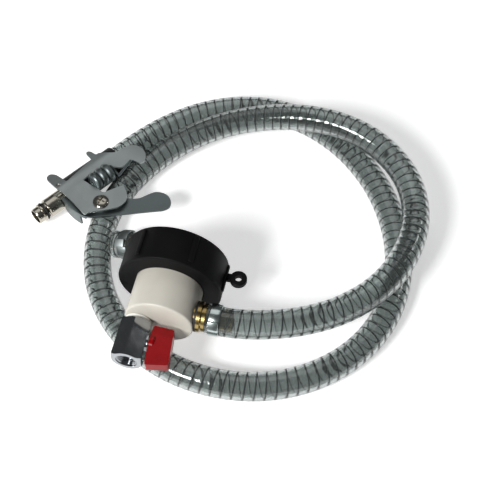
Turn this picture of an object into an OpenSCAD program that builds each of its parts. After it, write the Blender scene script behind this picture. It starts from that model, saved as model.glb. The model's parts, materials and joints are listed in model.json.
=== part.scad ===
// Container siphon hose set: screw cap with a plastic manifold, mini ball valve,
// hose barb and wire-reinforced hose with a quick-connect plug and a spring clamp.
// Millimetres, +Z up, floor at z = 0. The manifold axis lies along Y.

/* [Cap] */
// Outer radius of the cap body
cap_r = 37.8; // [35:0.1:42]
// Cap length along its axis
cap_len = 27; // [22:0.5:34]
// Wall radius of the thread inside the cap
cap_bore_r = 29; // [28:0.1:31]
// Number of grip ribs
rib_count = 6; // [4:1:24]
// Hole radius of the tether lug
lug_hole_r = 2.4; // [1.5:0.1:3]

/* [Manifold] */
// Radius of the white body
man_r = 24.5; // [20:0.5:27]
// Length of the body in front of the cap
man_len = 29.5; // [24:0.5:40]
// Height of the manifold axis above the floor
axis_z = 37.8; // [37.8:0.1:45]
// Sideways offset of the valve port
port_x = -14; // [-15:0.5:0]

/* [Valve] */
// Hexagon width across flats
hex_af = 21; // [20:0.5:25]
// Outlet thread wall radius
outlet_r = 7.5; // [6:0.1:9]
// Length of the knob wing
knob_len = 31; // [24:0.5:33]
// Depth of the knob wing
knob_deep = 16.5; // [10:0.5:20]

/* [Hose] */
// Outside diameter of the hose
hose_d = 21; // [19:0.5:24]
// Bore of the hose
hose_bore = 16; // [12:0.5:18]

/* [Plug and clamp] */
// Outer radius of the black sleeve
sleeve_r = 12.2; // [11.5:0.1:13]
// Diameter of the plug body
plug_d = 15.5; // [12:0.5:18]
// Sheet thickness of the clamp
sheet = 1.5; // [1:0.1:2]

/* [Hidden] */
fx = 2.7;        // cap axis in the frame
fy = 5.45;       // cap front rim in the frame
e = 0.05;      // assembly gap
valve_y = -46; // valve stem position along the axis
hex_a = -33.2;   // valve body inner end
hex_b = -62.8;   // valve body outer end
barb_y = -18.5;
rib_r = 39.2;
rib_turn = -65;
hr = hose_d / 2;
// rear elbow outlet direction
el = [-3, 39, 30.5];
el_turn = 176;
el_drop = 19;
// plug and sleeve position, relative to the cap
px = -107.5;
py = 77;
pz = 12.2;
pa = 55.7;
piv = [12, -34];
zb = 22.8; // rear sheet underside
za = 27;   // front sheet underside

module here() { translate([fx, fy, 0]) children(); }
module along_y(y0) { translate([0, y0, axis_z]) rotate([-90, 0, 0]) children(); }
module along_x(x0, y0) { translate([x0, y0, axis_z]) rotate([0, 90, 0]) children(); }
module tube(ro, ri, h) { difference() { cylinder(r = ro, h = h, $fn = 96); translate([0, 0, -1]) cylinder(r = ri, h = h + 2, $fn = 96); } }
module at_plug() { translate([px, py, 0]) rotate([0, 0, pa]) children(); }
module at_axis() { at_plug() translate([0, 0, pz]) rotate([0, 90, 0]) children(); }
module at_rear() { translate(el) rotate([0, 0, el_turn]) rotate([0, el_drop, 0]) rotate([0, 90, 0]) children(); }
// points (along, across) of a sheet outline, across counted away from the plug axis
module plate(z0, pts) { translate([0, 0, z0]) linear_extrude(sheet) polygon([for (p = pts) [p[0], -p[1]]]); }

module cap() { color("#1b1c1e") here() difference() {
  union() {
    along_y(0) rotate_extrude($fn = 120) polygon([[24.8, 0], [cap_r - 1.2, 0], [cap_r - 0.35, 0.35], [cap_r, 1.2], [cap_r, cap_len - 1], [cap_r - 1, cap_len], [cap_bore_r, cap_len], [cap_bore_r, 4], [24.8, 4]]);
    for (i = [0 : rib_count - 1]) translate([0, 5, axis_z]) rotate([0, i * 360 / rib_count + rib_turn, 0]) translate([cap_r - 1, 0, -2.2]) cube([rib_r - cap_r + 1, cap_len - 6.5, 4.4]);
    translate([cap_r + 9, 17, axis_z - 2.5]) cylinder(r = 6.2, h = 5, $fn = 48);
    translate([cap_r - 2, 14, axis_z - 2.5]) cube([8, 6, 5]);
  }
  translate([cap_r + 9, 17, axis_z - 4]) cylinder(r = lug_hole_r, h = 8, $fn = 48);
} }

module cap_gasket() { color("#3a3b3d") here() along_y(8.6) tube(28, 19, 3); }

module manifold_body() { color("#ecebe6") here() difference() {
  union() {
    along_y(-man_len) rotate_extrude($fn = 120) polygon([[0, 0], [man_r - 1, 0], [man_r, 1], [man_r, man_len + 4.3], [28.4, man_len + 4.3], [28.4, man_len + 8.6], [18, man_len + 8.6], [18, man_len + 21], [17, man_len + 22], [0, man_len + 22]]);
  }
  along_y(-22) cylinder(r = 8.3, h = 46, $fn = 64);
  translate([port_x, 0, 0]) along_y(-man_len - 1) cylinder(r = 8.3, h = 13, $fn = 64);
  along_x(0, barb_y) cylinder(r = 8.3, h = 30, $fn = 64);
} }

module valve_nipple() { color("#c9cccd") here() translate([port_x, 0, 0]) along_y(-38.8) rotate_extrude($fn = 72)
  polygon([[4, 0], [7.05, 0], [7.05, 5.8], [8.25, 5.8], [8.25, 19.4], [7.4, 20.2], [4, 20.2]]); }

module thread_tape() { color("#f4f4f0") here() translate([port_x, 0, 0]) along_y(-32.9) tube(9.4, 8.26, 3.2); }

module hex_bar(y0, len) { along_y(y0) rotate([0, 0, 90]) cylinder(r = hex_af / sqrt(3), h = len, $fn = 6); }

module valve_body() { color("#d4d6d8") here() translate([port_x, 0, 0]) difference() {
  union() {
    intersection() {
      hex_bar(hex_b, hex_a - hex_b);
      along_y(hex_b) rotate_extrude($fn = 96) polygon([[0, 0], [10.7, 0], [12.4, 1.6], [12.4, hex_a - hex_b - 1.4], [10.9, hex_a - hex_b], [0, hex_a - hex_b]]);
    }
    along_x(0, valve_y) cylinder(r = 6.2, h = hex_af / 2 + 1, $fn = 64);
  }
  along_y(hex_b - 1) cylinder(r = outlet_r, h = 9, $fn = 72);
  along_y(hex_b) cylinder(r = 4, h = 20, $fn = 64);
  along_y(-53) cylinder(r = 7.1, h = 21, $fn = 72);
  along_x(0, valve_y) cylinder(r = 3.1, h = 20, $fn = 48);
  along_x(8.6, valve_y) cylinder(r = 4.6, h = 10, $fn = 48);
} }

module ball_seats() { color("#f2f0ea") here() translate([port_x, 0, valve_y * 0]) for (s = [-1, 1])
  difference() {
    along_y(valve_y + s * 6 - 0.9) tube(7, 4.2, 1.8);
    translate([0, valve_y, axis_z]) sphere(r = 6.85, $fn = 72);
  } }

module valve_ball() { color("#dcdee0") here() translate([port_x, valve_y, axis_z]) difference() {
  rotate([90, 0, 0]) rotate_extrude($fn = 72) difference() { circle(r = 6.5, $fn = 72); translate([-8, -8]) square([11.9, 16]); }
  translate([4.5, -2.7, -1.4]) cube([4, 5.4, 2.8]);
} }

module valve_stem() { color("#c8b27a") here() translate([port_x, valve_y, axis_z]) {
  translate([4.65, -2.4, -1.2]) cube([2, 4.8, 2.4]);
  translate([6.6, 0, 0]) rotate([0, 90, 0]) cylinder(r = 2.8, h = 13.4, $fn = 48);
} }

module stem_packing() { color("#f2f0ea") here() along_x(port_x + 8.65, valve_y) tube(4.55, 3.1, 1.6); }

module gland_nut() { color("#caccce") here() along_x(port_x + 10.3, valve_y) difference() {
  union() { cylinder(r = 4.5, h = 2, $fn = 48); translate([0, 0, 1.8]) cylinder(r = 4.8, h = 1.6, $fn = 6); }
  translate([0, 0, -1]) cylinder(r = 3.1, h = 6, $fn = 48);
} }

module valve_knob() { color("#b4141b") here() translate([0, valve_y, axis_z]) difference() {
  union() {
    translate([-1.9, 0, 0]) rotate([0, 90, 0]) cylinder(r = 6.3, h = 4.2, $fn = 72);
    translate([0, 0, -5]) linear_extrude(10) polygon([[-1.9, knob_len / 2 - 2.6], [knob_deep - 3.3, knob_len / 2 - 3.7], [knob_deep - 0.9, -knob_len / 2 - 0.2], [-0.6, -knob_len / 2 - 3], [-1.9, -4]]);
  }
  translate([-3, 0, 0]) rotate([0, 90, 0]) cylinder(r = 5.15, h = 3, $fn = 48);
  rotate([0, 90, 0]) cylinder(r = 2.85, h = 6.1, $fn = 48);
  rotate([0, 90, 0]) cylinder(r = 1.4, h = 40, $fn = 32);
  translate([knob_deep - 5.3, 0, 0]) rotate([0, 90, 0]) cylinder(r = 2.9, h = 10, $fn = 48);
} }

module knob_screw() { color("#b9bcbf") here() translate([0, valve_y, axis_z]) rotate([0, 90, 0]) {
  translate([0, 0, 6.1]) cylinder(r = 1.35, h = knob_deep - 11.3, $fn = 32);
  translate([0, 0, knob_deep - 5.25]) cylinder(r = 2.6, h = 1.9, $fn = 40);
} }

module side_washer() { color("#2c2d30") here() along_x(man_r, barb_y) tube(11, 8.4, 1.5); }

module barb_body(r) {
  rotate_extrude($fn = 72) polygon([[5.5, 0], [8.25, 0], [8.25, 8], [r + 3, 8], [r + 3, 10.6], [r + 0.6, 10.6], [r + 0.6, 11.6], [r + 2.2, 11.6], [r + 2.2, 14], [7.4, 14],
    [7.4, 17], [r, 17], [7.4, 22], [r, 22], [7.4, 27], [r, 27], [7, 33], [5.5, 33]]);
}
module side_barb() { color("#c9a24a") here() along_x(man_r + 1.5 - 8, barb_y) barb_body(7.95); }

module ear_clamp(ears) { difference() {
  union() {
    cylinder(r = hr + 1, h = 8, $fn = 96);
    for (a = ears) rotate([0, 0, a]) translate([hr + 0.3, -3, 0]) cube([3.6, 6, 8]);
  }
  translate([0, 0, -1]) cylinder(r = hr + 0.02, h = 10, $fn = 96);
  for (a = ears) rotate([0, 0, a]) translate([hr + 0.6, -1.7, -1]) cube([2.4, 3.4, 10]);
} }
module side_clamp() { color("#b8bdc0") here() along_x(34.5, barb_y) ear_clamp([225]); }

module rear_washer() { color("#2c2d30") here() along_y(22) tube(11, 8.4, 1.5); }

module rear_elbow() { color("#c9a24a") here() difference() {
  union() {
    along_y(12) cylinder(r = 8.2, h = 14, $fn = 64);
    along_y(23.5) cylinder(r = 11.5, h = 4, $fn = 6);
    along_y(27) cylinder(r = 8, h = 6, $fn = 64);
    translate([0, 33, axis_z]) sphere(r = 8, $fn = 64);
    hull() { translate([0, 33, axis_z]) sphere(r = 7.4, $fn = 32); translate(el) sphere(r = 7.4, $fn = 32); }
    at_rear() cylinder(r = 7.4, h = 20, $fn = 64);
    at_rear() translate([0, 0, 20]) rotate_extrude($fn = 64) polygon([[0, 0], [7.95, 0], [7.4, 5], [7.95, 5], [7.4, 10], [7.95, 10], [7.4, 15], [7.95, 15], [7.4, 20], [7.95, 20], [7, 26], [0, 26]]);
  }
  along_y(11) cylinder(r = 5.5, h = 22, $fn = 48);
  translate([0, 33, axis_z]) sphere(r = 5.5, $fn = 48);
  hull() { translate([0, 33, axis_z]) sphere(r = 5, $fn = 24); translate(el) sphere(r = 5, $fn = 24); }
  at_rear() cylinder(r = 5, h = 50, $fn = 48);
} }

module tail_hose() { color("#aeb6b4") here() at_rear() translate([0, 0, 19.5]) tube(hr, hose_bore / 2, 35.5); }

module rear_clamp() { color("#b8bdc0") here() at_rear() translate([0, 0, 40]) { tube(hr + 1, hr + 0.02, 8); rotate([0, 0, 150]) translate([hr + 0.5, -3, 0.6]) cube([3.4, 6, 6.8]); } }

// hose route relative to the cap: centre line points
route = [[32.5, -18.5, 37.8], [52, -18.5, 37.7], [75, -13.8, 36.9], [98.9, -4.5, 35.4], [121.2, 9.3, 33.8], [139.9, 27.2, 32.8],
  [153.8, 48.3, 32.1], [162.3, 71.9, 31.4], [165, 96.3, 30.3], [161.7, 120.1, 29.1], [152.1, 141.9, 28.6], [136.4, 159.8, 29.1],
  [116, 172.4, 31], [92.4, 179.6, 31.8], [66.9, 181.9, 30.8], [40.5, 179.9, 27.4], [14.2, 173.5, 23.3], [-10.5, 162.4, 18.6],
  [-31.9, 146.4, 14.2], [-48.9, 126.4, 11.6], [-61.5, 103.5, 10.6], [-68.4, 78.7, 10.5], [-69.9, 53.7, 10.5], [-66.1, 29.4, 10.5],
  [-57.4, 6.8, 10.5], [-44.1, -13.1, 10.5], [-26.6, -29.6, 10.5], [-5.5, -42, 10.5], [18.2, -50, 10.5], [43.5, -53, 10.5],
  [69.1, -50.9, 10.5], [93.6, -43.3, 10.5], [115.8, -30.3, 10.5], [134.6, -12.5, 10.5], [148.7, 9.4, 10.5], [157.1, 34.6, 10.5],
  [159.1, 62, 10.5], [154.9, 90.4, 10.5], [144.7, 118.5, 10.5], [129.1, 144.9, 10.5], [108.5, 167.9, 10.5], [83.9, 185.8, 10.5],
  [56.7, 197, 10.5], [28.6, 199.9, 10.5], [1, 194.6, 10.5], [-24.9, 181.6, 10.6], [-47.5, 162.2, 11], [-65.6, 139.7, 11.6],
  [-77.6, 120.8, 12.2], [-82.1, 114.2, 12.2], [-93.4, 97.7, 12.2], [-105.5, 79.9, 12.2]];
n_side = 12;
function cr(a, b, c, d, t) = 0.5 * ((2 * b) + (c - a) * t + (2 * a - 5 * b + 4 * c - d) * t * t + (3 * b - a - 3 * c + d) * t * t * t);
function pt(i) = i < 0 ? 2 * route[0] - route[1] : i >= len(route) ? 2 * route[len(route) - 1] - route[len(route) - 2] : route[i];
line = [for (i = [0 : len(route) - 2]) for (t = [0, 0.5]) (i == 0 && t == 0) ? route[0] : cr(pt(i - 1), pt(i), pt(i + 1), pt(i + 2), t), route[len(route) - 1]];
function unit(v) = v / norm(v);
function dir(i) = i == 0 ? [1, 0, 0] : i == len(line) - 1 ? unit([-cos(pa), -sin(pa), 0]) : unit(line[i + 1] - line[i - 1]);
function side(d) = unit(cross(d, [0, 0, 1]));
function ring(i, r) = let (s = side(dir(i)), u = cross(s, dir(i))) [for (k = [0 : n_side - 1]) line[i] + r * (s * cos(k * 360 / n_side) + u * sin(k * 360 / n_side))];
module hose() { color("#aab2b1") here() {
  m = len(line);
  rr = hr - 0.02;
  ri = hose_bore / 2 + 0.3;
  polyhedron(points = concat([for (i = [0 : m - 1]) each ring(i, rr)], [for (i = [0 : m - 1]) each ring(i, ri)]),
    faces = concat(
      [for (i = [0 : m - 2]) for (k = [0 : n_side - 1]) let (a = i * n_side + k, b = i * n_side + (k + 1) % n_side) each [[a, a + n_side, b + n_side], [a, b + n_side, b]]],
      [for (i = [0 : m - 2]) for (k = [0 : n_side - 1]) let (o = m * n_side, a = o + i * n_side + k, b = o + i * n_side + (k + 1) % n_side) each [[a, b + n_side, a + n_side], [a, b, b + n_side]]],
      [for (k = [0 : n_side - 1]) let (a = k, b = (k + 1) % n_side, o = m * n_side) each [[a, b, o + b], [a, o + b, o + a]]],
      [for (k = [0 : n_side - 1]) let (q = (m - 1) * n_side, a = q + k, b = q + (k + 1) % n_side, o = m * n_side) each [[a, o + b, b], [a, o + a, o + b]]]),
    convexity = 12);
} }

module hose_sleeve() { color("#151617") here() at_axis() translate([0, 0, 1]) difference() {
  cylinder(r = sleeve_r, h = 52, $fn = 72);
  translate([0, 0, -1]) cylinder(r = plug_d / 2 + 0.02, h = 3.6, $fn = 64);
  translate([0, 0, 2.5]) cylinder(r = hr + 0.02, h = 60, $fn = 72);
} }

module plug_body() { color("#c2c0b8") here() at_axis() rotate_extrude($fn = 72)
  polygon([[5.4, -28], [6.1, -28], [6.5, -27.4], [6.5, -23.2], [7.4, -22.8], [7.4, -21.4], [5.9, -21], [5.9, -18.8], [6.6, -18.4], [6.6, -17.6], [plug_d / 2 - 0.6, -17.4], [plug_d / 2, -16.8],
    [plug_d / 2, 2], [7.4, 3.4], [7.4, 30], [6.6, 33], [5, 33], [5, -14], [3.2, -16], [3.2, -20], [5.4, -21.5]]); }

module plug_seal() { color("#202124") here() at_axis() translate([0, 0, -19.9]) rotate_extrude($fn = 64) translate([6.65, 0]) circle(r = 0.7, $fn = 24); }

module clamp_front() { color("#b3b8bb") here() at_plug() difference() {
  union() {
    plate(za, [[-3, 3], [0, 1], [41, -5], [50, 4], [58, 5.5], [63, 7], [67, 12], [68, 18], [66, 24], [61, 27.5], [57.5, 26], [55.5, 18.8], [44, 18.8], [36, 7.6], [15, 7.6], [19, 28.4], [35, 33.2], [32, 41], [27.5, 46.5], [19.5, 47.5], [9.5, 42], [0, 35.5], [-4.5, 34.5], [-3.5, 19]]);
    plate(za, [[-4, 5], [-5.1, -0.4], [-5, -8], [-4.8, -12.5], [-3, -14.9], [0.3, -15.3], [3.4, -11.5], [4.4, -3.7], [4.2, 5]]);
    plate(za, [[32.5, 2], [33.2, -11], [34.2, -12.6], [36.2, -12.6], [37.5, -10.5], [38.5, -5], [38.5, 2]]);
  }
  translate([piv[0], piv[1], 0]) cylinder(r = 3.05, h = 60, $fn = 40);
  translate([-2.2, 1.2, 20]) cylinder(r = 1.9, h = 12, $fn = 32);
} }

module clamp_rear() { color("#a4aaae") here() at_plug() difference() {
  union() {
    plate(zb, [[-5, 14], [4, 14], [9, 24.5], [20, 30.5], [28, 38], [31, 43.5], [37, 49], [44, 50.5], [50, 52], [54, 56], [56, 61.5], [54, 67.5], [49.5, 71], [44, 70], [22, 54.5], [16, 50], [6, 43], [-4, 34.5], [-6.5, 24]]);
    translate([-6.8, -15, 11]) cube([sheet, 6.6, zb + sheet - 11]);
    plate(zb, [[-6.8, 8.4], [-4.5, 8.4], [-3, 14], [-3, 20], [-6.6, 20]]);
    translate([-7.1, -25, 11]) cube([sheet, 11, zb + sheet - 11]);
    translate([-6.3, -29, 11]) cube([sheet, 4.6, zb + sheet - 11]);
    translate([-5.6, -34.5, 21.5]) cube([sheet, 6, zb + sheet - 21.5]);
  }
  translate([piv[0], piv[1], 0]) cylinder(r = 4.4, h = 60, $fn = 40);
} }

module at_pivot() { here() at_plug() translate([piv[0], piv[1], 0]) children(); }
module pivot_bush() { color("#9aa0a3") at_pivot() translate([0, 0, zb - 0.2]) { tube(4.1, 3.05, za - zb + 0.15); translate([0, 0, sheet + 0.5]) tube(6.5, 3.05, za - zb - sheet - 0.35); } }
module pivot_screw() { color("#cfd2d3") at_pivot() difference() {
  union() {
    translate([0, 0, zb - 1.55]) cylinder(r = 3, h = za + sheet - zb + 1.55, $fn = 40);
    translate([0, 0, za + sheet]) cylinder(r = 6.2, h = 1.2, $fn = 64);
    translate([0, 0, za + sheet + 1.2]) cylinder(r = 5.4, h = 1.2, $fn = 64);
  }
  for (a = [20, 110]) translate([0, 0, za + sheet + 1.2]) rotate([0, 0, a]) translate([-3.4, -0.75, 0]) cube([6.8, 1.5, 4]);
} }
module pivot_nut() { color("#b7bbbe") at_pivot() translate([0, 0, zb - 1.55]) difference() { cylinder(r = 5.8, h = 1.3, $fn = 6); translate([0, 0, -1]) cylinder(r = 3.02, h = 6, $fn = 40); } }

module spring_barrel() { color("#a9afb2") here() at_plug() translate([20, -16, 28.6]) rotate([0, 90, 0]) difference() {
  union() for (i = [0 : 2]) translate([0, 0, 1.3 + i * 6.1]) rotate_extrude($fn = 64) translate([4.8, 0]) circle(r = 3.1, $fn = 32);
  translate([0, 0, -2.5]) cylinder(r = 4.4, h = 25, $fn = 48);
} }
module torsion_spring() { color("#8f9598") here() at_plug() translate([20, -16, 28.6]) {
  rotate([0, 90, 0]) for (i = [0 : 9]) translate([0, 0, -0.9 + i * 2.1]) rotate_extrude($fn = 48) translate([3.1, 0]) circle(r = 1.1, $fn = 20);
  translate([18, -2.6, 1]) rotate([90, 0, 0]) cylinder(r = 1.1, h = 6.4, $fn = 20);
  translate([17.4, -8.7, 1.3]) rotate([0, 90, 17]) cylinder(r = 1.1, h = 17, $fn = 20);
} }

cap();
cap_gasket();
manifold_body();
valve_nipple();
thread_tape();
valve_body();
ball_seats();
valve_ball();
valve_stem();
stem_packing();
gland_nut();
valve_knob();
knob_screw();
side_washer();
side_barb();
side_clamp();
rear_washer();
rear_elbow();
tail_hose();
rear_clamp();
hose();
hose_sleeve();
plug_body();
plug_seal();
clamp_front();
clamp_rear();
pivot_screw();
pivot_bush();
pivot_nut();
spring_barrel();
torsion_spring();
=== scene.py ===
"""Container siphon hose set: cap, manifold, ball valve, wire-reinforced hose, plug and spring clamp.

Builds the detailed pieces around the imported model. Places start from the frame's mounts, joints and boxes,
and sizes that the frame does not give repeat the part's source.
"""

import json
import math

import bmesh
import bpy
from mathutils import Matrix, Vector


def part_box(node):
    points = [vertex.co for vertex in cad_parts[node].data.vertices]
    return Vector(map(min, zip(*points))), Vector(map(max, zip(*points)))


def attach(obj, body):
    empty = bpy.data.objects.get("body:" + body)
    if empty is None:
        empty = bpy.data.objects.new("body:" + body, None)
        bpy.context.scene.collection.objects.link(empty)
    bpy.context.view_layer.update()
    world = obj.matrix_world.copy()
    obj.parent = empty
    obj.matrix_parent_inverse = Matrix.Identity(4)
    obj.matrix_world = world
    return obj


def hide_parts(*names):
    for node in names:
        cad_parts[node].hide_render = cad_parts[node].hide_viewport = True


bl_info = {
    "name": "Container siphon hose set",
    "version": (1, 0, 0),
    "blender": (4, 5, 0),
    "location": "View3D > Sidebar > Siphon hose",
    "description": "Builds the cap, manifold, valve, hose, plug and clamp of a container siphon hose set",
    "category": "Add Mesh",
}

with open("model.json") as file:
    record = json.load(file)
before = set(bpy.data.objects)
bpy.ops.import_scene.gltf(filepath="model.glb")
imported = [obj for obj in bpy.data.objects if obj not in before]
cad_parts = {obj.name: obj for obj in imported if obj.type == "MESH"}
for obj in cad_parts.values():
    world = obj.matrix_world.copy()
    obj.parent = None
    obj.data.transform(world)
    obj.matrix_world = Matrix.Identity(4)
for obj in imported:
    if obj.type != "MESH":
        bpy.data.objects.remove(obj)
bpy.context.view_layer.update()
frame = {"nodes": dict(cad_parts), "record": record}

MM = 0.001
MOUNT = {m["name"]: m for m in frame["record"]["mounts"]}
JOINT = {j["name"]: j for j in frame["record"]["behaviour"]["joints"]}

# The cap thread mount stands 20 mm behind the cap's front rim, on the manifold axis.
RIM = Vector(MOUNT["cap_thread"]["pos_m"]) - Vector((0, 20 * MM, 0))
VALVE = Vector(JOINT["valve_turn"]["pos_m"])
BARB = RIM + Vector((24.5 * MM, -18.5 * MM, 0))

# Plug axis: U runs from the plug's tip to the hose, V across it towards the clamp's pivot, Z up.
PLUG_U = -Vector(MOUNT["coupler_plug"]["axis"])
PLUG_V = PLUG_U.cross(Vector((0, 0, 1)))
PLUG_0 = Vector(MOUNT["coupler_plug"]["pos_m"]) + 25.3 * MM * PLUG_U
CLAMP_0 = Vector((PLUG_0.x, PLUG_0.y, 0))
PIVOT = (12.0, 34.0)

# Sizes in millimetres that several pieces share.
PORT_X = -14          # valve port, beside the manifold's axis
TAPE_Y = -32.9        # where the thread tape starts
TAIL_START = 19.5     # tail hose, from the elbow's bend
TAIL_LENGTH = 35.5
TAIL_BAND = 40        # rear ear clamp, from the elbow's bend
SIDE_BAND = 10        # side ear clamp, from the barb's shoulder
LUG_Y = 17            # tether lug, behind the cap's front rim
RIB_TURN = -65        # first grip rib, in degrees
OUTLET_Y = -61.8      # first ridge of the outlet's thread
OUTLET_PITCH = 1.34
HOSE_STEP = 3.2       # length of one ring of the hose wall

# Rear tail: from the elbow's bend, turned to the left and 19 degrees down.
TAIL_0 = RIM + Vector((-3, 39, -7.3)) * MM
TAIL_TURN = math.radians(176)
TAIL_DROP = math.radians(19)
TAIL_AXIS = Vector((math.cos(TAIL_TURN) * math.cos(TAIL_DROP), math.sin(TAIL_TURN) * math.cos(TAIL_DROP),
                    -math.sin(TAIL_DROP)))

# Hose route relative to the cap's front rim, floor at zero: the centre line in millimetres. It repeats the
# part's source. Its points were measured and then smoothed by a script, not chosen by hand.
ROUTE = [
    (32.5, -18.5, 37.8), (52, -18.5, 37.7), (75, -13.8, 36.9), (98.9, -4.5, 35.4), (121.2, 9.3, 33.8),
    (139.9, 27.2, 32.8), (153.8, 48.3, 32.1), (162.3, 71.9, 31.4), (165, 96.3, 30.3), (161.7, 120.1, 29.1),
    (152.1, 141.9, 28.6), (136.4, 159.8, 29.1), (116, 172.4, 31), (92.4, 179.6, 31.8), (66.9, 181.9, 30.8),
    (40.5, 179.9, 27.4), (14.2, 173.5, 23.3), (-10.5, 162.4, 18.6), (-31.9, 146.4, 14.2),
         (-48.9, 126.4, 11.6),
    (-61.5, 103.5, 10.6), (-68.4, 78.7, 10.5), (-69.9, 53.7, 10.5), (-66.1, 29.4, 10.5), (-57.4, 6.8, 10.5),
    (-44.1, -13.1, 10.5), (-26.6, -29.6, 10.5), (-5.5, -42, 10.5), (18.2, -50, 10.5), (43.5, -53, 10.5),
    (69.1, -50.9, 10.5), (93.6, -43.3, 10.5), (115.8, -30.3, 10.5), (134.6, -12.5, 10.5),
         (148.7, 9.4, 10.5),
    (157.1, 34.6, 10.5), (159.1, 62, 10.5), (154.9, 90.4, 10.5), (144.7, 118.5, 10.5), (129.1, 144.9, 10.5),
    (108.5, 167.9, 10.5), (83.9, 185.8, 10.5), (56.7, 197, 10.5), (28.6, 199.9, 10.5), (1, 194.6, 10.5),
    (-24.9, 181.6, 10.6), (-47.5, 162.2, 11), (-65.6, 139.7, 11.6), (-77.6, 120.8, 12.2),
         (-82.1, 114.2, 12.2),
    (-93.4, 97.7, 12.2), (-105.5, 79.9, 12.2),
]


# ---------------------------------------------------------------- small helpers

def linear(hex_colour):
    """sRGB hex to a linear colour with alpha."""
    out = []
    for k in (1, 3, 5):
        c = int(hex_colour[k:k + 2], 16) / 255
        out.append(c / 12.92 if c <= 0.04045 else ((c + 0.055) / 1.055) ** 2.4)
    return (*out, 1.0)


def add(tree, kind, inputs=None, links=None, **settings):
    """Adds one node: settings are its attributes, inputs its values, links {input: (node, output)}."""
    item = tree.nodes.new(kind)
    for key, value in settings.items():
        setattr(item, key, value)
    for key, value in (inputs or {}).items():
        item.inputs[key].default_value = value
    for key, (source, output) in (links or {}).items():
        tree.links.new(source.outputs[output], item.inputs[key])
    return item


def start_material(name):
    """A new material with an output, a surface shader and Object coordinates."""
    mat = bpy.data.materials.new(name)
    mat.use_nodes = True
    tree = mat.node_tree
    tree.nodes.clear()
    shader = add(tree, "ShaderNodeBsdfPrincipled")
    add(tree, "ShaderNodeOutputMaterial", links={"Surface": (shader, "BSDF")})
    place = add(tree, "ShaderNodeTexCoord")
    return mat, tree, shader, place


def placed(origin, x_axis=None, z_axis=(0, 0, 1)):
    """A matrix at origin with its Z along z_axis and its X near x_axis."""
    z = Vector(z_axis).normalized()
    x = Vector(x_axis) if x_axis is not None else (Vector((1, 0, 0)) if abs(z.x) < 0.9 else Vector((0, 1,
                                                                                                    0)))
    x = (x - z * x.dot(z)).normalized()
    y = z.cross(x)
    m = Matrix((x, y, z)).transposed().to_4x4()
    m.translation = Vector(origin)
    return m


def clamp_space():
    """The clamp's frame: X along the plug axis, -Y towards the pivot, Z up."""
    return placed(CLAMP_0, PLUG_U)


def lathe(bm, outline, place, steps=96):
    """Spins a closed outline of (radius, height) in millimetres round Z, then places it."""
    old = set(bm.verts)
    verts = [bm.verts.new((r * MM, 0, z * MM)) for r, z in outline]
    edges = [bm.edges.new((verts[i - 1], verts[i])) for i in range(len(verts))
             if outline[i - 1][0] > 0 or outline[i][0] > 0]
    bmesh.ops.spin(bm, geom=verts + edges, cent=(0, 0, 0), axis=(0, 0, 1), dvec=(0, 0, 0),
                   angle=2 * math.pi, steps=steps, use_merge=True)
    new = [v for v in bm.verts if v not in old]
    bmesh.ops.remove_doubles(bm, verts=new, dist=1e-7)
    new = [v for v in bm.verts if v not in old]
    bmesh.ops.transform(bm, matrix=place, verts=new)
    return new


def block(bm, low, high, place, bevel=0.0, segments=2):
    """A box from low to high in millimetres, with its edges rounded."""
    old = set(bm.verts)
    bmesh.ops.create_cube(bm, size=1)
    new = [v for v in bm.verts if v not in old]
    size = [h - l for l, h in zip(low, high)]
    mid = [(h + l) / 2 for l, h in zip(low, high)]
    bmesh.ops.scale(bm, vec=[s * MM for s in size], verts=new)
    bmesh.ops.translate(bm, vec=[m * MM for m in mid], verts=new)
    if bevel:
        edges = list({e for v in new for e in v.link_edges})
        bmesh.ops.bevel(bm, geom=edges, offset=bevel * MM, offset_type="OFFSET", segments=segments,
                        profile=0.5, affect="EDGES", material=-1)
        new = [v for v in bm.verts if v not in old]
    bmesh.ops.transform(bm, matrix=place, verts=new)
    return new


def rounded(points, radius, steps=5):
    """The same outline with each corner turned into a short arc; radius is one number or one per corner."""
    out = []
    count = len(points)
    for i, p in enumerate(points):
        r = radius[i] if isinstance(radius, (list, tuple)) else radius
        a, b, c = Vector(points[i - 1]), Vector(p), Vector(points[(i + 1) % count])
        to_a, to_c = a - b, c - b
        cut = min(r, 0.45 * to_a.length, 0.45 * to_c.length)
        if cut < 0.05:
            out.append(tuple(b))
            continue
        start, end = b + to_a.normalized() * cut, b + to_c.normalized() * cut
        for k in range(steps + 1):
            t = k / steps
            q = start * (1 - t) ** 2 + b * 2 * t * (1 - t) + end * t ** 2
            out.append(tuple(q))
    return out


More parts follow.
